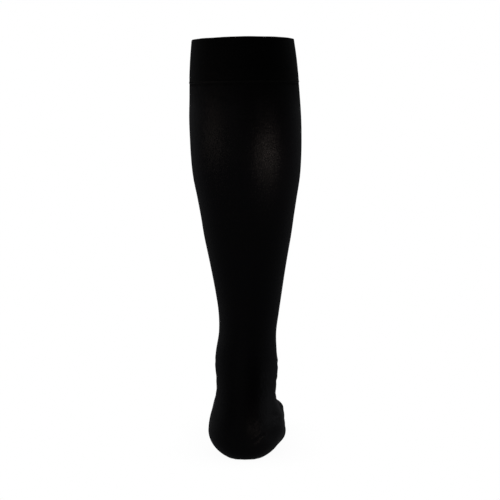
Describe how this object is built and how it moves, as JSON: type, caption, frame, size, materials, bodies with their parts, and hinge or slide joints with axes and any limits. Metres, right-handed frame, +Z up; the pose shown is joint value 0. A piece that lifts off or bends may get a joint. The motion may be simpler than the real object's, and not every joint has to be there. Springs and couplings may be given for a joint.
{
  "type": "compression stocking",
  "caption": "Knee-high compression stocking: a hollow round-knit tube in the form it takes on a right leg, with a doubled knee band, a turned heel and a closed toe.",
  "frame": {"origin": "Middle of the hollow at half the height of the knee band, where the leg below the knee holds the stocking.", "axes": "+Z runs up the leg, +Y from heel to toe, +X towards the little toe of the right foot."},
  "size_m": [0.1148, 0.2536, 0.4262],
  "materials": {
    "band_knit": "matt, dense plain knit in two layers",
    "leg_knit": "soft sheen where stretched over the calf, fine plain knit",
    "foot_knit": "soft sheen, fine plain knit turned at the heel",
    "toe_knit": "matt, fine plain knit"
  },
  "bodies": {
    "root": {"knee_band": "band_knit", "leg_tube": "leg_knit", "foot_tube": "foot_knit", "toe_cap": "toe_knit"}
  },
  "joints": []
}
